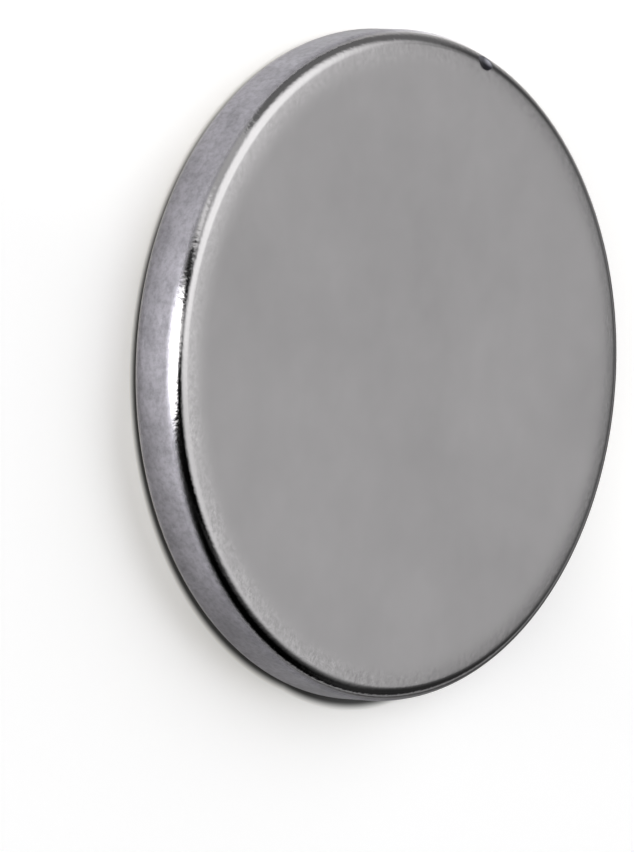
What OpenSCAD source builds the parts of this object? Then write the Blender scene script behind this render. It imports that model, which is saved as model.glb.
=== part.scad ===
// Nickel-plated disc magnet: a pressed, sintered and tumbled disc that lies flat on its back face.
// The plate is too thin to have a shape of its own, so the magnet is one solid.
//
// Origin: centre of the back face. +Z: disc axis, out of the front face. All sizes in millimetres.

/* [Disc] */
// Diameter over the cylindrical wall
magnet_d = 20; // [14:0.5:60]
// Thickness between the two flat faces
magnet_t = 2; // [1.6:0.1:10]

/* [Tumbled edge] */
// Radius of the rounded corner between the wall and each face
edge_r = 0.5; // [0.2:0.05:0.55]
// Width of the shallow roll-off that tumbling leaves on a face, just inside the rounded corner
rolloff_w = 0.9; // [0.3:0.1:2]
// Slope of the roll-off where it runs into the rounded corner, in degrees
rolloff_slope = 5; // [1:0.5:8]

/* [Chip] */
// Radius of the scoop that the chip leaves on the front edge
chip_r = 0.8; // [0.4:0.05:1.2]
// Depth of the chip below the rounded corner
chip_depth = 0.06; // [0.03:0.01:0.12]
// Place of the chip around the disc, anticlockwise from +X, in degrees
chip_around = 162; // [0:1:359]
// Place of the chip on the rounded corner, from the disc axis out to the wall, in degrees
chip_lean = 20; // [10:5:80]

/* [Hidden] */

// What a cut runs past the surface that it opens through
cut_past = 0.5;
// Fineness of the disc around its axis, of the arcs in its profile and of the chip's scoop
disc_fn = 240;
arc_fn = 360;
chip_fn = 72;

magnet_r = magnet_d / 2;

// The roll-off is an arc that leaves the flat face at a tangent and reaches its full slope at its outer end,
// where the corner's arc takes over at the same slope and turns it into the wall.
rolloff_r = rolloff_w / sin(rolloff_slope);
rolloff_end_x = magnet_r - edge_r * (1 - sin(rolloff_slope));
rolloff_start_x = rolloff_end_x - rolloff_w;
rolloff_drop = rolloff_r * (1 - cos(rolloff_slope));

// Centre of the front corner's arc, as [radius, height]
corner_x = magnet_r - edge_r;
corner_z = magnet_t - rolloff_drop - edge_r * cos(rolloff_slope);

// What tumbling takes off one edge, in the profile's plane: above the roll-off's arc, and outside the corner's arc
module front_edge_waste() {
    top = magnet_t + cut_past;
    rolloff_end_z = magnet_t - rolloff_drop;
    difference() {
        translate([rolloff_start_x, rolloff_end_z])
            square([rolloff_w, top - rolloff_end_z]);
        translate([rolloff_start_x, magnet_t - rolloff_r])
            circle(r = rolloff_r, $fn = 4 * arc_fn);
    }
    difference() {
        translate([rolloff_end_x, corner_z])
            square([magnet_r + cut_past - rolloff_end_x, top - corner_z]);
        translate([corner_x, corner_z])
            circle(r = edge_r, $fn = arc_fn);
    }
}

// Half section of the disc, from the axis out to the wall
module disc_profile() {
    difference() {
        square([magnet_r, magnet_t]);
        front_edge_waste();
        translate([0, magnet_t]) mirror([0, 1]) front_edge_waste();
    }
}

// A small scoop knocked out of the front edge's rounded corner
module chip_scoop() {
    reach = edge_r + chip_r - chip_depth;
    rotate([0, 0, chip_around])
        translate([corner_x + reach * sin(chip_lean), 0, corner_z + reach * cos(chip_lean)])
            sphere(r = chip_r, $fn = chip_fn);
}

module magnet_disc() {
    color("#9a9a9e")
        difference() {
            rotate_extrude($fn = disc_fn) disc_profile();
            chip_scoop();
        }
}

magnet_disc();
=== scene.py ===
"""Nickel-plated disc magnet, lying on its back face on a pale floor.

Everything is in metres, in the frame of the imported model: the disc axis is +Z and the back face is at z = 0.
"""

import math
from typing import NamedTuple

import bpy
import numpy as np
from mathutils import Matrix, Vector


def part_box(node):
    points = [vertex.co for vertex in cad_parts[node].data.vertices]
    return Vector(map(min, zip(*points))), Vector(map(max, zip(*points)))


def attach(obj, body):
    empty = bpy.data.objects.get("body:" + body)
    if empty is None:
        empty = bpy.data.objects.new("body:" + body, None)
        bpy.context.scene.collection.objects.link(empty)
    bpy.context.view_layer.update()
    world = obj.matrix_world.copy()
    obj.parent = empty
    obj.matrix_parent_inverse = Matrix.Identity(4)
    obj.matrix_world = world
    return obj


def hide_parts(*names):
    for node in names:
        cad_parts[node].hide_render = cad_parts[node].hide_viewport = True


bl_info = {
    "name": "Disc Magnet",
    "version": (1, 0, 0),
    "blender": (4, 5, 0),
    "location": "3D View > Sidebar > Disc Magnet",
    "description": "Builds a nickel-plated disc magnet and the plain studio that it is shown in",
    "category": "Object",
}

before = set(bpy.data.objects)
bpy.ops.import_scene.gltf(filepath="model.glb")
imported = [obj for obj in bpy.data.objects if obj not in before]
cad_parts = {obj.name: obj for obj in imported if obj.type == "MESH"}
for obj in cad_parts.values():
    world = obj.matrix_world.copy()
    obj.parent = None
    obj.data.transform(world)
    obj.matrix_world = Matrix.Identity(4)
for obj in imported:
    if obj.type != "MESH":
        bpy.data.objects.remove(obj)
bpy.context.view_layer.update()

MM = 0.001
NODE = "magnet_disc"
BODY = "root"
DISC_LOW, DISC_HIGH = (Vector(corner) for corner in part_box(NODE))
DISC_RADIUS = (DISC_HIGH.x - DISC_LOW.x) / 2
DISC_THICKNESS = DISC_HIGH.z - DISC_LOW.z


# ---------------------------------------------------------------- sizes and colours that a user would change


class DiscProps(bpy.types.PropertyGroup):
    """Sizes of the disc's edge"""

    edge_radius: bpy.props.FloatProperty(
        name="Edge radius",
        description="Radius of the rounded corner between the wall and each face",
        default=0.5 * MM, min=0.1 * MM, max=0.9 * MM, unit="LENGTH")
    rolloff_width: bpy.props.FloatProperty(
        name="Roll-off width",
        description="Width of the shallow roll-off that tumbling leaves on a face, inside the rounded corner",
        default=0.9 * MM, min=0.1 * MM, max=3 * MM, unit="LENGTH")
    rolloff_slope: bpy.props.FloatProperty(
        name="Roll-off slope",
        description="Slope of the roll-off where it runs into the rounded corner",
        default=math.radians(5), min=math.radians(1), max=math.radians(12), subtype="ANGLE")
    chip_radius: bpy.props.FloatProperty(
        name="Chip radius",
        description="Radius of the scoop that the chip leaves on the front edge",
        default=0.8 * MM, min=0.1 * MM, max=2 * MM, unit="LENGTH")
    chip_depth: bpy.props.FloatProperty(
        name="Chip depth",
        description="Depth of the chip below the rounded corner",
        default=0.06 * MM, min=0.01 * MM, max=0.2 * MM, unit="LENGTH")
    chip_around: bpy.props.FloatProperty(
        name="Chip place around",
        description="Place of the chip around the disc, anticlockwise from +X",
        default=math.radians(162), subtype="ANGLE")
    chip_lean: bpy.props.FloatProperty(
        name="Chip lean",
        description="Place of the chip on the rounded corner, from the disc axis out to the wall",
        default=math.radians(20), min=0, max=math.radians(90), subtype="ANGLE")


class PlateProps(bpy.types.PropertyGroup):
    """Colours and roughness of the nickel plate"""

    face_hex: bpy.props.StringProperty(
        name="Face colour",
        description="Colour of the nickel plate on the faces and corners, as sRGB hex",
        default="#CCCACB")
    rim_hex: bpy.props.StringProperty(
        name="Rim colour",
        description="Colour of the nickel plate on the ground wall, as sRGB hex",
        default="#B4B2BA")
    bruise_hex: bpy.props.StringProperty(
        name="Bruise colour",
        description="Colour of the plate rubbed over the outer part of the chip, as sRGB hex",
        default="#ABABB4")
    alloy_hex: bpy.props.StringProperty(
        name="Alloy colour",
        description="Colour of the sintered alloy that the chip lays bare, as sRGB hex",
        default="#3C3B42")
    roughness: bpy.props.FloatProperty(
        name="Roughness",
        description="Roughness of the plate on the two faces",
        default=0.16, min=0, max=1, subtype="FACTOR")
    frost_roughness: bpy.props.FloatProperty(
        name="Frost roughness",
        description="Roughness of the scuffed grain on the roll-off",
        default=0.22, min=0, max=1, subtype="FACTOR")
    corner_roughness: bpy.props.FloatProperty(
        name="Corner roughness",
        description="Roughness of the plate on the burnished corners",
        default=0.1, min=0, max=1, subtype="FACTOR")
    rim_roughness: bpy.props.FloatProperty(
        name="Rim roughness",
        description="Roughness of the plate on the ground wall",
        default=0.28, min=0, max=1, subtype="FACTOR")
    chip_roughness: bpy.props.FloatProperty(
        name="Chip roughness",
        description="Roughness of the broken surface inside the chip",
        default=0.36, min=0, max=1, subtype="FACTOR")


class StageProps(bpy.types.PropertyGroup):
    """The camera, the floor and the soft lamp"""

    camera_elevation: bpy.props.FloatProperty(
        name="Camera elevation",
        description="Angle of the camera above the floor",
        default=math.radians(41.84), subtype="ANGLE")
    camera_roll: bpy.props.FloatProperty(
        name="Camera roll",
        description="Turn of the camera about its own axis; a quarter turn stands the disc upright",
        default=math.radians(92.94), subtype="ANGLE")
    camera_distance: bpy.props.FloatProperty(
        name="Camera distance",
        description="Distance from the camera to the point it looks at",
        default=356.8 * MM, min=50 * MM, unit="LENGTH")
    camera_lens: bpy.props.FloatProperty(
        name="Focal length",
        description="Focal length of the long lens, in millimetres",
        default=507, min=20, max=2000)
    camera_aim: bpy.props.FloatVectorProperty(
        name="Camera aim",
        description="Point on the floor that the camera looks at",
        default=(1.92 * MM, -1.58 * MM, 0), size=3, subtype="TRANSLATION", unit="LENGTH")
    floor_size: bpy.props.FloatProperty(
        name="Floor size",
        description="Side of the square floor",
        default=3.0, min=0.1, unit="LENGTH")
    floor_hex: bpy.props.StringProperty(
        name="Floor colour",
        description="Colour of the pale floor, as sRGB hex",
        default="#E8E8E8")
    fill_hex: bpy.props.StringProperty(
        name="Fill colour",
        description="Colour of the light that the floor adds, as sRGB hex",
        default="#FFFBF1")
    lamp_hex: bpy.props.StringProperty(
        name="Lamp colour",
        description="Colour of the soft lamp, as sRGB hex",
        default="#F6F8FF")
    floor_lift: bpy.props.FloatProperty(
        name="Floor lift",
        description="Light that the floor adds for the camera and for reflections, to be a white ground",
        default=0.288, min=0, max=1)
    bright_side_lift: bpy.props.FloatProperty(
        name="Bright side lift",
        description="How much more light the floor adds on the bright side of the disc",
        default=0.12, min=0, max=1)
    lamp_azimuth: bpy.props.FloatProperty(
        name="Lamp azimuth",
        description="Where the soft lamp stands, round from the camera's side towards +X",
        default=math.radians(-152), subtype="ANGLE")
    lamp_elevation: bpy.props.FloatProperty(
        name="Lamp elevation",
        description="Height of the soft lamp above the floor",
        default=math.radians(35), min=math.radians(5), max=math.radians(90), subtype="ANGLE")
    lamp_angle: bpy.props.FloatProperty(
        name="Lamp width",
        description="Angle that the soft lamp fills, which softens the shadow",
        default=math.radians(80), min=0, max=math.pi, subtype="ANGLE")
    lamp_light: bpy.props.FloatProperty(
        name="Lamp light",
        description="Share of the floor's light that comes from the soft lamp",
        default=0.53, min=0)


# ---------------------------------------------------------------- helpers


def linear(hex_colour):
    """An sRGB hex colour as linear red, green, blue and alpha."""
    channels = [int(hex_colour[i:i + 2], 16) / 255 for i in (1, 3, 5)]
    return [c / 12.92 if c <= 0.04045 else ((c + 0.055) / 1.055) ** 2.4 for c in channels] + [1.0]


def add(tree, kind, inputs=None, **settings):
    """Adds a node. Inputs maps a socket's name or number to a value or to another node's output."""
    made = tree.nodes.new(kind)
    for name, value in settings.items():
        setattr(made, name, value)
    for key, value in (inputs or {}).items():
        if isinstance(value, bpy.types.NodeSocket):
            tree.links.new(value, made.inputs[key])
        else:
            made.inputs[key].default_value = value
    return made


def empty_tree(owner):
    """The owner's own node tree, switched on and emptied."""
    owner.use_nodes = True
    owner.node_tree.nodes.clear()
    return owner.node_tree


def unit_vector(azimuth, elevation):
    """A direction, from degrees: azimuth 0 is -Y, the camera's side, and 90 is +X; elevation is upwards."""
    a, e = math.radians(azimuth), math.radians(elevation)
    return Vector((math.cos(e) * math.sin(a), -math.cos(e) * math.cos(a), math.sin(e)))


# ---------------------------------------------------------------- the disc


COLUMNS = 800          # steps around the disc
ROLLOFF_ROWS = 14      # steps across the roll-off
CORNER_ROWS = 34       # steps across the rounded corner
WALL_ROWS = 6          # steps down half of the wall
FACE_RINGS = (0.12, 0.3, 0.5, 0.68, 0.8)   # the face's inner rings, as shares of the flat's radius
CHIP_CROWDING = 0.55   # how far the steps are drawn in towards the chip: 0 is even


def corner_centre(props):
    """The centre of the corner's arc: its radius from the disc axis, and its height above the mid-plane."""
    slope = props.rolloff_slope
    drop = props.rolloff_width / math.sin(slope) * (1 - math.cos(slope))
    return DISC_RADIUS - props.edge_radius, DISC_THICKNESS / 2 - drop - props.edge_radius * math.cos(slope)


def chip_centre(props):
    """The centre of the ball that scoops out the chip. It stands off the corner along the chip's lean."""
    corner_x, corner_z = corner_centre(props)
    reach = props.edge_radius + props.chip_radius - props.chip_depth
    out = corner_x + reach * math.sin(props.chip_lean)
    return np.array([
        out * math.cos(props.chip_around),
        out * math.sin(props.chip_around),
        DISC_THICKNESS / 2 + corner_z + reach * math.cos(props.chip_lean)])


def edge_profile(props):
    """Half of the section, from the front face's first ring out to the middle of the wall.

    The flat gives way to an arc that leaves it at a tangent and reaches the full slope over the roll-off's
    width. The corner's arc takes over at that slope and turns on to the wall. Returns arrays of radius and of
    height above the disc's mid-plane.
    """
    slope, edge = props.rolloff_slope, props.edge_radius
    half = DISC_THICKNESS / 2
    arc = props.rolloff_width / math.sin(slope)
    corner_x, corner_z = corner_centre(props)
    start = corner_x + edge * math.sin(slope) - props.rolloff_width

    flat = start * np.array(FACE_RINGS)
    lean_rolloff = np.linspace(0, slope, ROLLOFF_ROWS, endpoint=False)
    lean_corner = np.linspace(slope, math.pi / 2, CORNER_ROWS)
    wall_z = np.linspace(corner_z, 0, WALL_ROWS + 1)[1:]
    radius = np.concatenate([
        flat,
        start + arc * np.sin(lean_rolloff),
        corner_x + edge * np.sin(lean_corner),
        np.full(wall_z.size, DISC_RADIUS)])
    height = np.concatenate([
        np.full(flat.size, half),
        half - arc * (1 - np.cos(lean_rolloff)),
        corner_z + edge * np.cos(lean_corner),
        wall_z])
    return radius, height


def disc_grid(props):
    """The disc's surface as rings of points, from the front face over the wall to the back face.

    Each ring carries one point of the section round the axis. The steps round the axis are closer together
    near the chip: angle = even step minus a sine of it. Points that fall inside the chip's scoop are pushed
    along its radius on to its surface.
    """
    radius, height = edge_profile(props)
    radius = np.concatenate([radius, radius[-2::-1]])
    height = np.concatenate([height, -height[-2::-1]])
    height = height + DISC_THICKNESS / 2

    even = np.linspace(-math.pi, math.pi, COLUMNS, endpoint=False)
    angle = props.chip_around + even - CHIP_CROWDING * np.sin(even)
    points = np.empty((radius.size, COLUMNS, 3))
    points[..., 0] = radius[:, None] * np.cos(angle)
    points[..., 1] = radius[:, None] * np.sin(angle)
    points[..., 2] = height[:, None]

    centre = chip_centre(props)
    away = points - centre
    distance = np.linalg.norm(away, axis=-1, keepdims=True)
    inside = distance < props.chip_radius
    return np.where(inside, centre + away / distance * props.chip_radius, points)


def closed_shell(name, points):
    """A mesh object from rings of points. Each ring is closed, and each end closes on a point of the axis."""
    rings, columns = points.shape[:2]
    poles = np.zeros((2, 3))
    poles[0, 2] = points[0, 0, 2]
    poles[1, 2] = points[-1, 0, 2]
    corners = np.arange(rings * columns).reshape(rings, columns)
    after = np.roll(corners, -1, axis=1)
    quads = np.stack([corners[:-1], corners[1:], after[1:], after[:-1]], axis=-1).reshape(-1, 4)
    top = np.stack([np.full(columns, corners.size), corners[0], after[0]], axis=-1)
    bottom = np.stack([np.full(columns, corners.size + 1), after[-1], corners[-1]], axis=-1)
    mesh = bpy.data.meshes.new(name)
    mesh.from_pydata(
        np.concatenate([points.reshape(-1, 3), poles]).tolist(), [],
        quads.tolist() + top.tolist() + bottom.tolist())
    mesh.polygons.foreach_set("use_smooth", np.ones(len(mesh.polygons), dtype=bool))
    mesh.update()
    made = bpy.data.objects.new(name, mesh)
    bpy.context.scene.collection.objects.link(made)
    return made


# ---------------------------------------------------------------- the nickel plate


# The patterns' sizes, in millimetres. A noise's scale is one over its size.
CLOUD_SIZE = 4.0           # faint clouds on the faces
BLOTCH_SIZE = 0.909        # blotches on the wall, and patches of frost
SPECK_SIZE = 0.1667        # specks on the wall, and pits on the corners
GRAIN_SIZE = 0.0909        # grain of the pressed powder, which is really too fine to show and is drawn coarser
SWELL_SIZE = 0.345         # the plate's soft swell over that grain
SCUFF_SIZE = 0.2           # the coarsest of the frost's scuffs, which go down to 0.03

# How high they stand.
SWELL_HEIGHT = 0.0012 * MM
GRAIN_HEIGHT = 0.0004 * MM
PIT_HEIGHT = 0.007 * MM
SCUFF_HEIGHT = 0.006 * MM

FROST_SIDE = 50             # where the frost and its painted sheen are heaviest, in degrees round from the camera's side towards +X
CHIP_RAGGEDNESS = 0.03     # how far the chip's outline wanders, in millimetres
CHIP_EDGE = (0.04, 0.02)   # how far past the scoop the bare surface ends, and how far it is whole, in millimetres


class Band(NamedTuple):
    """A band of the plate round the axis. Its places are in millimetres in from the wall."""

    start: float            # where it starts to come in
    full: float             # where all of it is there
    least: float = 0.0      # the share of it that is there before the start


BANDS = {
    "wall": Band(0.12, 0.02),
    "corner": Band(0.62, 0.42),
    "pits": Band(0.4, 0.2, 0.15),
    "frost's inner end": Band(1.15, 0.65),
    "frost's outer end": Band(0.3, 0.5, 0.04),
    "chip's rubbed side": Band(0.42, 0.22),
}


def frost_share(tree, flat, frost_band):
    """How much frost there is: the band, in patches, and heavier towards FROST_SIDE, so that its painted sheen is
    heavier there too.
    """
    patches = add(tree, "ShaderNodeTexNoise", {"Vector": flat, "Scale": 1 / BLOTCH_SIZE, "Detail": 2.0})
    patchy = add(tree, "ShaderNodeMapRange", {
        "Value": patches.outputs["Fac"], "From Min": 0.35, "From Max": 0.6,
        "To Min": 0.5, "To Max": 1.0}).outputs[0]
    toward_frost_side = add(tree, "ShaderNodeVectorMath", {
        0: flat, 1: unit_vector(FROST_SIDE, 0)}, operation="DOT_PRODUCT").outputs["Value"]
    frost_side_weight = add(tree, "ShaderNodeMapRange", {
        "Value": toward_frost_side, "From Min": 0.5 * DISC_RADIUS / MM, "From Max": 0.95 * DISC_RADIUS / MM,
        "To Min": 0.4, "To Max": 1.0}, interpolation_type="SMOOTHSTEP").outputs[0]
    share = add(tree, "ShaderNodeMath", {0: patchy, 1: frost_side_weight}, operation="MULTIPLY").outputs[0]
    return add(tree, "ShaderNodeMath", {0: frost_band, 1: share}, operation="MULTIPLY").outputs[0]


def plate_colour(tree, props, in_mm, wall, frost, frosted):
    """The plate's colour: faint clouds on the faces, blotches and specks on the wall, and frost paler in part by
    painted sheen.
    """
    base = add(tree, "ShaderNodeMix", {
        0: wall, 6: linear(props.face_hex), 7: linear(props.rim_hex)}, data_type="RGBA").outputs[2]
    clouds = add(tree, "ShaderNodeTexNoise", {
        "Vector": in_mm, "Scale": 1 / CLOUD_SIZE, "Detail": 4.0, "Roughness": 0.55})
    face_tone = add(tree, "ShaderNodeMapRange", {
        "Value": clouds.outputs["Fac"], "From Min": 0.3, "From Max": 0.7,
        "To Min": 0.93, "To Max": 1.05}).outputs[0]
    blotches = add(tree, "ShaderNodeTexNoise", {
        "Vector": in_mm, "Scale": 1 / BLOTCH_SIZE, "Detail": 3.0, "Roughness": 0.6})
    blotch_tone = add(tree, "ShaderNodeMapRange", {
        "Value": blotches.outputs["Fac"], "From Min": 0.35, "From Max": 0.65,
        "To Min": 0.88, "To Max": 1.12}).outputs[0]
    specks = add(tree, "ShaderNodeTexNoise", {
        "Vector": in_mm, "Scale": 1 / SPECK_SIZE, "Detail": 2.0, "Roughness": 0.7})
    speck_tone = add(tree, "ShaderNodeMapRange", {
        "Value": specks.outputs["Fac"], "From Min": 0.3, "From Max": 0.6,
        "To Min": 0.8, "To Max": 1.06}).outputs[0]
    wall_tone = add(tree, "ShaderNodeMath", {0: blotch_tone, 1: speck_tone}, operation="MULTIPLY").outputs[0]
    tone = add(tree, "ShaderNodeMix", {0: wall, 2: face_tone, 3: wall_tone}, data_type="FLOAT").outputs[0]
    # The frost's speckle, lighter on the whole: partly scuff marks, partly painted sheen.
    frost_and_sheen_tone = add(tree, "ShaderNodeMapRange", {
        "Value": frost, "From Min": 0.3, "From Max": 0.7, "To Min": -0.16, "To Max": 0.28}).outputs[0]
    tone = add(tree, "ShaderNodeMath", {
        0: frost_and_sheen_tone, 1: frosted, 2: tone}, operation="MULTIPLY_ADD").outputs[0]
    return add(tree, "ShaderNodeVectorMath", {0: base, "Scale": tone}, operation="SCALE").outputs[0]


def plate_relief(tree, in_mm, pits, pitted, frost, frosted):
    """The plate's fine relief: its swell, then the powder's grain, the corners' pits and the frost."""
    swell = add(tree, "ShaderNodeTexNoise", {
        "Vector": in_mm, "Scale": 1 / SWELL_SIZE, "Detail": 1.0, "Roughness": 0.4}).outputs["Fac"]
    grain = add(tree, "ShaderNodeTexNoise", {
        "Vector": in_mm, "Scale": 1 / GRAIN_SIZE, "Detail": 2.0, "Roughness": 0.5}).outputs["Fac"]
    relief = add(tree, "ShaderNodeBump", {
        "Strength": 1.0, "Distance": SWELL_HEIGHT, "Height": swell}).outputs[0]
    relief = add(tree, "ShaderNodeBump", {
        "Strength": 1.0, "Distance": GRAIN_HEIGHT, "Height": grain, "Normal": relief}).outputs[0]
    relief = add(tree, "ShaderNodeBump", {
        "Strength": pitted, "Distance": PIT_HEIGHT, "Height": pits, "Normal": relief}).outputs[0]
    return add(tree, "ShaderNodeBump", {
        "Strength": frosted, "Distance": SCUFF_HEIGHT, "Height": frost, "Normal": relief}).outputs[0]


def bright_nickel_plate(props, chip_place, chip_radius):
    """Bright nickel, electroplated on a tumbled sintered disc.

    The faces reflect softly because the plate follows the pressed powder's fine grain. The corners are
    burnished by the tumbling, so they are sharper mirrors, with coarser pits. The ground wall is a little
    darker and cooler, and cloudy. The roll-off is frosted where the tumbling stones dragged over it, and the
    frost's paler speckle is partly painted sheen.
    """
    material = bpy.data.materials.new("bright_nickel_plate_tumbled")
    tree = empty_tree(material)
    place = add(tree, "ShaderNodeTexCoord").outputs["Object"]
    in_mm = add(tree, "ShaderNodeVectorMath", {0: place, "Scale": 1 / MM}, operation="SCALE").outputs[0]
    split = add(tree, "ShaderNodeSeparateXYZ", {0: in_mm})
    flat = add(tree, "ShaderNodeCombineXYZ", {0: split.outputs[0], 1: split.outputs[1]}).outputs[0]
    from_axis = add(tree, "ShaderNodeVectorMath", {0: flat}, operation="LENGTH").outputs["Value"]
    from_wall = add(tree, "ShaderNodeMath", {
        0: DISC_RADIUS / MM, 1: from_axis}, operation="SUBTRACT").outputs[0]
    bands = {
        name: add(tree, "ShaderNodeMapRange", {
            "Value": from_wall, "From Min": band.start, "From Max": band.full,
            "To Min": band.least}, interpolation_type="SMOOTHSTEP").outputs[0]
        for name, band in BANDS.items()}
    wall = bands["wall"]
    frost_band = add(tree, "ShaderNodeMath", {
        0: bands["frost's inner end"], 1: bands["frost's outer end"]}, operation="MULTIPLY").outputs[0]
    frosted = frost_share(tree, flat, frost_band)
    frost = add(tree, "ShaderNodeTexNoise", {
        "Vector": in_mm, "Scale": 1 / SCUFF_SIZE, "Detail": 4.0, "Roughness": 0.75,
        "Distortion": 0.3}).outputs["Fac"]
    pits = add(tree, "ShaderNodeTexNoise", {
        "Vector": in_mm, "Scale": 1 / SPECK_SIZE, "Detail": 2.0, "Roughness": 0.5}).outputs["Fac"]

    colour = plate_colour(tree, props, in_mm, wall, frost, frosted)
    normal = plate_relief(tree, in_mm, pits, bands["pits"], frost, frosted)
    roughness = add(tree, "ShaderNodeMix", {
        0: frost_band, 2: props.roughness, 3: props.frost_roughness}, data_type="FLOAT").outputs[0]
    roughness = add(tree, "ShaderNodeMix", {
        0: bands["corner"], 2: roughness, 3: props.corner_roughness}, data_type="FLOAT").outputs[0]
    roughness = add(tree, "ShaderNodeMix", {
        0: wall, 2: roughness, 3: props.rim_roughness}, data_type="FLOAT").outputs[0]

    # Inside the chip's scoop the plate is gone. The dull sintered alloy shows on the face's side of it, and
    # plate that was rubbed over the break on the wall's side.
    from_chip = add(tree, "ShaderNodeVectorMath", {
        0: in_mm, 1: [value / MM for value in chip_place]}, operation="DISTANCE").outputs["Value"]
    ragged = add(tree, "ShaderNodeMath", {
        0: pits, 1: CHIP_RAGGEDNESS, 2: from_chip}, operation="MULTIPLY_ADD").outputs[0]
    ends, whole = (chip_radius / MM + past for past in CHIP_EDGE)
    chipped = add(tree, "ShaderNodeMapRange", {
        "Value": ragged, "From Min": ends, "From Max": whole}).outputs[0]
    chip_colour = add(tree, "ShaderNodeMix", {
        0: bands["chip's rubbed side"], 6: linear(props.alloy_hex), 7: linear(props.bruise_hex)},
        data_type="RGBA").outputs[2]
    colour = add(tree, "ShaderNodeMix", {0: chipped, 6: colour, 7: chip_colour}, data_type="RGBA").outputs[2]
    roughness = add(tree, "ShaderNodeMix", {
        0: chipped, 2: roughness, 3: props.chip_roughness}, data_type="FLOAT").outputs[0]

    shader = add(tree, "ShaderNodeBsdfPrincipled", {
        "Base Color": colour, "Metallic": 1.0, "Roughness": roughness, "Normal": normal})
    add(tree, "ShaderNodeOutputMaterial", {"Surface": shader.outputs[0]})
    return material


# ---------------------------------------------------------------- the stage


class Panel(NamedTuple):
    """A soft-edged light or dark cloth on the studio's walls. Angles are in degrees."""

    azimuth: float          # round from the camera's side, towards +X
    elevation: float        # above the floor
    turn: float             # round the line to its middle
    half_width: float       # from its middle to its edge
    half_height: float
    softness: float         # of its edge, as a share of its size
    boxiness: float         # 2 is an ellipse; higher is nearer a rectangle
    light: float            # 0 is black, 1 is white, and more is brighter than white


ROOM_LIGHT = 0.53          # between the panels
EVEN_LIGHT = 0.15          # on the board, from all sides
PANEL_DEPTH = 0.03         # a direction less far along a panel's axis than this doesn't reach the panel
# Each panel covers the ones before it. Eight of them began as the result of a fitting program, which was
# rounded and adjusted: both dark walls, the black cloths in front and on the right, the soft box, the light
# strip, the window and the ceiling light. The other six were placed one by one.
STUDIO = {
    "dark wall on the left": Panel(-145, 0, 25, 70, 43, 0.1, 2, 0.18),
    "dark wall behind": Panel(166, -4, -80, 43, 28, 0.12, 2, 0.12),
    "black cloth in front": Panel(5, 45, -15, 32, 75, 0.1, 2, 0.0),
    "pale blind on the left": Panel(-152, 36, 0, 9, 7, 0.8, 2, 0.38),
    "high soft box": Panel(-127, 64, -80, 30.5, 25, 0.55, 2, 1.4),
    "black cloth on the right": Panel(93, 28, -10, 67, 40, 0.8, 4, 0.0),
    "dark doorway behind": Panel(-160, 20, 0, 9, 10, 0.6, 2, 0.08),
    "pale wall low on the right": Panel(115, -1, 0, 50, 7, 0.8, 4, 0.36),
    "pale wall low behind": Panel(176, 0, 0, 55, 9.5, 0.8, 4, 0.33),
    "black cloth low on the right": Panel(144, 22, 0, 20, 7, 0.6, 4, 0.03),
    "narrow light on the left": Panel(-47, 38, 0, 5, 20, 0.9, 2, 1.0),
    "light strip": Panel(-4, 30, 5, 6, 35, 0.9, 2, 1.7),
    "window": Panel(1, 5, 5, 14, 38, 0.75, 4, 8.0),
    "ceiling light": Panel(140, 70, -50, 22, 12, 0.9, 2, 0.95),
}


def panel_mask(tree, direction, panel):
    """A soft-edged panel seen in a direction: the share of it there, from 0 to 1.

    The direction is turned into the panel's own frame and divided by its depth, which gives its place on
    the panel's plane. The distance is a superellipse of that place over the half sizes, and 1 is the edge.
    """
    centre = unit_vector(panel.azimuth, panel.elevation)
    right = Vector((0, 0, 1)).cross(centre).normalized()
    upward = centre.cross(right)
    turned = Matrix((right, upward, centre)).transposed() @ Matrix.Rotation(math.radians(panel.turn), 3, "Z")
    local = add(tree, "ShaderNodeMapping", {
        "Vector": direction, "Rotation": turned.to_euler()}, vector_type="TEXTURE").outputs[0]
    split = add(tree, "ShaderNodeSeparateXYZ", {0: local})
    depth = add(tree, "ShaderNodeMath", {0: split.outputs[2], 1: PANEL_DEPTH}, operation="MAXIMUM").outputs[0]
    powers = []
    for output, half in ((0, panel.half_width), (1, panel.half_height)):
        reach = add(tree, "ShaderNodeMath", {
            0: depth, 1: math.tan(math.radians(half))}, operation="MULTIPLY").outputs[0]
        share = add(tree, "ShaderNodeMath", {
            0: split.outputs[output], 1: reach}, operation="DIVIDE").outputs[0]
        size = add(tree, "ShaderNodeMath", {0: share}, operation="ABSOLUTE").outputs[0]
        powers.append(add(tree, "ShaderNodeMath", {0: size, 1: panel.boxiness}, operation="POWER").outputs[0])
    total = add(tree, "ShaderNodeMath", {0: powers[0], 1: powers[1]}, operation="ADD").outputs[0]
    distance = add(tree, "ShaderNodeMath", {0: total, 1: 1 / panel.boxiness}, operation="POWER").outputs[0]
    soft = add(tree, "ShaderNodeMapRange", {
        "Value": distance, "From Min": 1 + panel.softness, "From Max": 1 - panel.softness},
        interpolation_type="SMOOTHSTEP").outputs[0]
    ahead = add(tree, "ShaderNodeMath", {
        0: split.outputs[2], 1: PANEL_DEPTH}, operation="GREATER_THAN").outputs[0]
    return add(tree, "ShaderNodeMath", {0: soft, 1: ahead}, operation="MULTIPLY").outputs[0]


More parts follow.
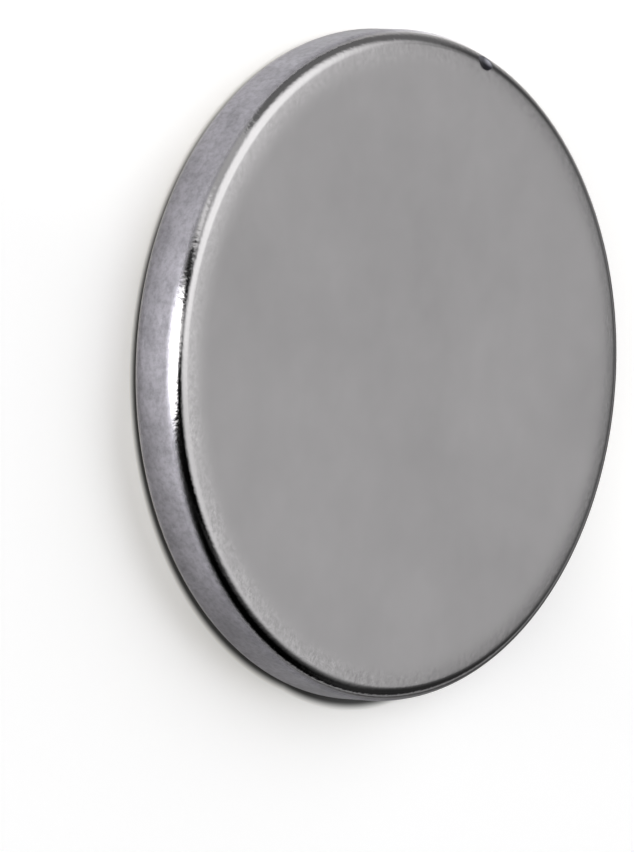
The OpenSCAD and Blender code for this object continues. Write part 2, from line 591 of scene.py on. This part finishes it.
def studio_world():
    """The room around the magnet: grey with soft lights and dark cloths in the plate, white to the camera.

    The board itself gets plain, even light from it, so that only the soft lamp throws a shadow.
    """
    world = bpy.data.worlds.new("studio")
    tree = empty_tree(world)
    direction = add(tree, "ShaderNodeTexCoord").outputs["Generated"]
    light = ROOM_LIGHT
    for panel in STUDIO.values():
        mask = panel_mask(tree, direction, panel)
        light = add(tree, "ShaderNodeMix", {0: mask, 2: light, 3: panel.light}, data_type="FLOAT").outputs[0]
    room = add(tree, "ShaderNodeBackground", {"Color": light, "Strength": 1.0})
    even = add(tree, "ShaderNodeBackground", {"Strength": EVEN_LIGHT})
    white = add(tree, "ShaderNodeBackground", {"Strength": 1.0})
    path = add(tree, "ShaderNodeLightPath")
    lit = add(tree, "ShaderNodeMixShader", {
        0: path.outputs["Is Diffuse Ray"], 1: room.outputs[0], 2: even.outputs[0]})
    both = add(tree, "ShaderNodeMixShader", {
        0: path.outputs["Is Camera Ray"], 1: lit.outputs[0], 2: white.outputs[0]})
    add(tree, "ShaderNodeOutputWorld", {"Surface": both.outputs[0]})
    return world


class ShadowPatch(NamedTuple):
    """A round patch of painted shadow on the board, smaller than the disc, slid out from under it. Sizes are in
    mm.
    """

    azimuth: float          # where it has slid to, in degrees round from the camera's side towards +X
    slide: float            # how far it has slid
    inset: float            # how much smaller than the disc it is, on its radius
    softness: float         # half the width over which it fades


# Together they paint the narrow contact shadow where the wall's lower corner curls in over the board. The first
# paints it on the +X side, thinning out towards the camera, and the second widens it in that side's middle.
CONTACT_SHADOW = (ShadowPatch(137, 0.18, 0.045, 0.15), ShadowPatch(100, 2.24, 1.95, 0.15))
CONTACT_SHADOW_TONE = 0.03        # how pale the board is in the middle of a patch of painted shadow, as a share

# Sides of the disc, in degrees round from the camera's side towards +X.
PAINTED_LIGHT_SIDE = -129           # where painted light brightens the board for reflections
PAINTED_WINDOW_SIDE = 12           # where a painted reflection of the window lies on the board
BRIGHT_SIDE = -115         # where the board adds the most light

FLOOR_GAP = 0.005 * MM     # from the disc's back face down to the board, so that they never share a plane


def painted_contact_shadow(tree, position):
    """The painted contact shadow: how pale the board is by the line round the disc's foot, a smooth step from the
    rim of each patch.
    """
    tone = 1.0
    for patch in CONTACT_SHADOW:
        middle = unit_vector(patch.azimuth, 0) * patch.slide * MM
        from_patch = add(tree, "ShaderNodeVectorMath", {
            0: position, 1: middle}, operation="DISTANCE").outputs["Value"]
        rim = DISC_RADIUS - patch.inset * MM
        patch_shadow_tone = add(tree, "ShaderNodeMapRange", {
            "Value": from_patch, "From Min": rim - patch.softness * MM, "From Max": rim + patch.softness * MM,
            "To Min": CONTACT_SHADOW_TONE, "To Max": 1.0}, interpolation_type="SMOOTHSTEP").outputs[0]
        tone = add(tree, "ShaderNodeMath", {0: patch_shadow_tone, 1: tone}, operation="MINIMUM").outputs[0]
    return tone


def painted_mirrored_tone(tree, position):
    """What the plate mirrors of the board: a painted tone, as a share of its colour.

    Painted shade darkens it towards the back of the magnet and on its right. Painted light brightens it on
    the left, and in front it carries a painted reflection of the window.
    """
    place = add(tree, "ShaderNodeSeparateXYZ", {0: position})
    distance = add(tree, "ShaderNodeVectorMath", {0: position}, operation="LENGTH").outputs["Value"]
    direction = add(tree, "ShaderNodeVectorMath", {0: position}, operation="NORMALIZE").outputs[0]

    # Painted shade: darker towards the back of the magnet, and on its +X side.
    painted_falloff_shade = add(tree, "ShaderNodeMapRange", {
        "Value": place.outputs[1], "From Min": -4 * MM, "From Max": 12 * MM,
        "To Min": 0.66, "To Max": 0.04}).outputs[0]
    painted_side_shade = add(tree, "ShaderNodeMapRange", {
        "Value": place.outputs[0], "From Min": 4 * MM, "From Max": 9 * MM, "To Min": 1.0, "To Max": 0.72},
        interpolation_type="SMOOTHSTEP").outputs[0]

    # Painted light on the board on the -X side, fading away from the disc.
    toward_painted_light = add(tree, "ShaderNodeVectorMath", {
        0: direction, 1: unit_vector(PAINTED_LIGHT_SIDE, 0)}, operation="DOT_PRODUCT").outputs["Value"]
    painted_light_width = add(tree, "ShaderNodeMapRange", {
        "Value": toward_painted_light, "From Min": 0.78, "From Max": 0.98, "To Max": 1.2},
        interpolation_type="SMOOTHSTEP").outputs[0]
    painted_light_reach = add(tree, "ShaderNodeMapRange", {
        "Value": distance, "From Min": 11 * MM, "From Max": 17 * MM,
        "To Min": 1.0, "To Max": 0.55}).outputs[0]
    painted_light_end = add(tree, "ShaderNodeMapRange", {
        "Value": place.outputs[0], "From Min": -11 * MM, "From Max": -15 * MM,
        "To Min": 1.0, "To Max": 0.5}).outputs[0]
    painted_light = add(tree, "ShaderNodeMath", {0: painted_light_width, 1: painted_light_reach}, operation="MULTIPLY").outputs[0]
    painted_light = add(tree, "ShaderNodeMath", {0: painted_light, 1: painted_light_end}, operation="MULTIPLY").outputs[0]

    # A painted reflection of the window, on the board in front of the disc.
    toward_painted_window = add(tree, "ShaderNodeVectorMath", {
        0: direction, 1: unit_vector(PAINTED_WINDOW_SIDE, 0)}, operation="DOT_PRODUCT").outputs["Value"]
    painted_window_width = add(tree, "ShaderNodeMapRange", {
        "Value": toward_painted_window, "From Min": 0.6, "From Max": 1.0, "To Max": 0.45},
        interpolation_type="SMOOTHSTEP").outputs[0]
    painted_window_start = add(tree, "ShaderNodeMapRange", {
        "Value": distance, "From Min": DISC_RADIUS + 0.4 * MM, "From Max": DISC_RADIUS + 1.9 * MM},
        interpolation_type="SMOOTHSTEP").outputs[0]

    tone = add(tree, "ShaderNodeMath", {
        0: painted_falloff_shade, 1: painted_side_shade, 2: painted_light}, operation="MULTIPLY_ADD").outputs[0]
    return add(tree, "ShaderNodeMath", {
        0: painted_window_width, 1: painted_window_start, 2: tone}, operation="MULTIPLY_ADD").outputs[0]


def pale_floor(props):
    """A square of white board in satin paint, which gives it an even paleness with a faint sheen.

    It is lit plainly, and adds a little light of its own for the camera and for reflections. A painted contact
    shadow darkens it round the disc's foot, and reflections see a painted tone of it.
    """
    half, top = props.floor_size / 2, -FLOOR_GAP
    mesh = bpy.data.meshes.new("floor")
    mesh.from_pydata(
        [(-half, -half, top), (half, -half, top), (half, half, top), (-half, half, top)], [], [(0, 1, 2, 3)])
    floor = bpy.data.objects.new("floor", mesh)
    bpy.context.scene.collection.objects.link(floor)

    material = bpy.data.materials.new("white_board_satin")
    tree = empty_tree(material)
    path = add(tree, "ShaderNodeLightPath")
    position = add(tree, "ShaderNodeTexCoord").outputs["Object"]
    # Reflections see the painted mirrored tone, and everything else sees the painted contact shadow, which
    # darkens the board's own light too.
    tone = add(tree, "ShaderNodeMix", {
        0: path.outputs["Is Glossy Ray"], 2: painted_contact_shadow(tree, position), 3: painted_mirrored_tone(tree, position)},
        data_type="FLOAT").outputs[0]
    colour = add(tree, "ShaderNodeVectorMath", {
        0: linear(props.floor_hex)[:3], "Scale": tone}, operation="SCALE").outputs[0]
    board = add(tree, "ShaderNodeBsdfPrincipled", {"Base Color": colour, "Roughness": 0.3})

    seen = add(tree, "ShaderNodeMath", {
        0: path.outputs["Is Camera Ray"], 1: path.outputs["Is Glossy Ray"]}, operation="MAXIMUM").outputs[0]
    toward_bright = add(tree, "ShaderNodeVectorMath", {
        0: position, 1: unit_vector(BRIGHT_SIDE, 0)}, operation="DOT_PRODUCT").outputs["Value"]
    lift = add(tree, "ShaderNodeMapRange", {
        "Value": toward_bright, "From Min": -0.4 * DISC_RADIUS, "From Max": 0.4 * DISC_RADIUS,
        "To Min": props.floor_lift, "To Max": props.floor_lift + props.bright_side_lift},
        interpolation_type="SMOOTHSTEP").outputs[0]
    lift = add(tree, "ShaderNodeMath", {0: seen, 1: lift}, operation="MULTIPLY").outputs[0]
    lift = add(tree, "ShaderNodeMath", {0: lift, 1: tone}, operation="MULTIPLY").outputs[0]
    glow = add(tree, "ShaderNodeEmission", {"Color": linear(props.fill_hex), "Strength": lift})
    both = add(tree, "ShaderNodeAddShader", {0: board.outputs[0], 1: glow.outputs[0]})
    add(tree, "ShaderNodeOutputMaterial", {"Surface": both.outputs[0]})
    mesh.materials.append(material)
    return floor


def soft_lamp(props):
    """A large soft lamp behind the disc, which throws the disc's shadow towards the camera and +X."""
    lamp = bpy.data.objects.new("soft_lamp", bpy.data.lights.new("soft_lamp", "SUN"))
    bpy.context.scene.collection.objects.link(lamp)
    toward = unit_vector(math.degrees(props.lamp_azimuth), math.degrees(props.lamp_elevation))
    lamp.rotation_euler = toward.to_track_quat("Z", "Y").to_euler()
    lamp.data.angle = props.lamp_angle
    lamp.data.color = linear(props.lamp_hex)[:3]
    lamp.data.energy = props.lamp_light * math.pi / toward.z
    lamp.visible_glossy = False
    return lamp


def long_lens_camera(props):
    """The camera, which looks down at the disc and is rolled so that the disc stands upright."""
    camera = bpy.data.objects.new("camera", bpy.data.cameras.new("camera"))
    bpy.context.scene.collection.objects.link(camera)
    elevation, roll = props.camera_elevation, props.camera_roll
    back = Vector((0, -math.cos(elevation), math.sin(elevation)))
    level_up = Vector((0, math.sin(elevation), math.cos(elevation)))
    right = Vector((1, 0, 0)) * math.cos(roll) + level_up * math.sin(roll)
    upward = back.cross(right)
    turn = Matrix((right, upward, back)).transposed()
    camera.matrix_world = Matrix.Translation(
        Vector(props.camera_aim) + back * props.camera_distance) @ turn.to_4x4()
    camera.data.lens = props.camera_lens
    camera.data.clip_start = 10 * MM
    camera.data.clip_end = 10.0
    return camera


# ---------------------------------------------------------------- operators, panel and registration


class MAGNET_OT_disc(bpy.types.Operator):
    """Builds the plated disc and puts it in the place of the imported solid"""

    bl_idname = "magnet.disc"
    bl_label = "Plated disc"

    def execute(self, context):
        sizes = context.scene.magnet_disc
        disc = closed_shell("plated_disc", disc_grid(sizes))
        disc.data.materials.append(bright_nickel_plate(
            context.scene.magnet_plate, chip_centre(sizes), sizes.chip_radius))
        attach(disc, BODY)
        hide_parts(NODE)
        return {"FINISHED"}


class MAGNET_OT_stage(bpy.types.Operator):
    """Builds the floor, the studio around it and the camera"""

    bl_idname = "magnet.stage"
    bl_label = "Stage"

    def execute(self, context):
        scene = context.scene
        scene.view_settings.view_transform = "Standard"
        scene.world = studio_world()
        pale_floor(scene.magnet_stage)
        soft_lamp(scene.magnet_stage)
        scene.camera = long_lens_camera(scene.magnet_stage)
        return {"FINISHED"}


class MAGNET_PT_sidebar(bpy.types.Panel):
    """Lists the magnet's pieces and their sizes"""

    bl_label = "Disc Magnet"
    bl_idname = "MAGNET_PT_sidebar"
    bl_space_type = "VIEW_3D"
    bl_region_type = "UI"
    bl_category = "Disc Magnet"

    def draw(self, context):
        for group in GROUPS:
            box = self.layout.box()
            props = getattr(context.scene, group)
            for name in props.bl_rna.properties.keys():
                if name not in ("rna_type", "name"):
                    box.prop(props, name)
        for operator in OPERATORS:
            self.layout.operator(operator.bl_idname)


GROUPS = {"magnet_disc": DiscProps, "magnet_plate": PlateProps, "magnet_stage": StageProps}
OPERATORS = (MAGNET_OT_stage, MAGNET_OT_disc)
CLASSES = (*GROUPS.values(), *OPERATORS, MAGNET_PT_sidebar)


def register():
    for cls in CLASSES:
        bpy.utils.register_class(cls)
    for name, group in GROUPS.items():
        setattr(bpy.types.Scene, name, bpy.props.PointerProperty(type=group))


def unregister():
    for name in GROUPS:
        delattr(bpy.types.Scene, name)
    for cls in reversed(CLASSES):
        bpy.utils.unregister_class(cls)


def main():
    register()
    bpy.ops.magnet.stage()
    bpy.ops.magnet.disc()


if __name__ == "__main__":
    main()
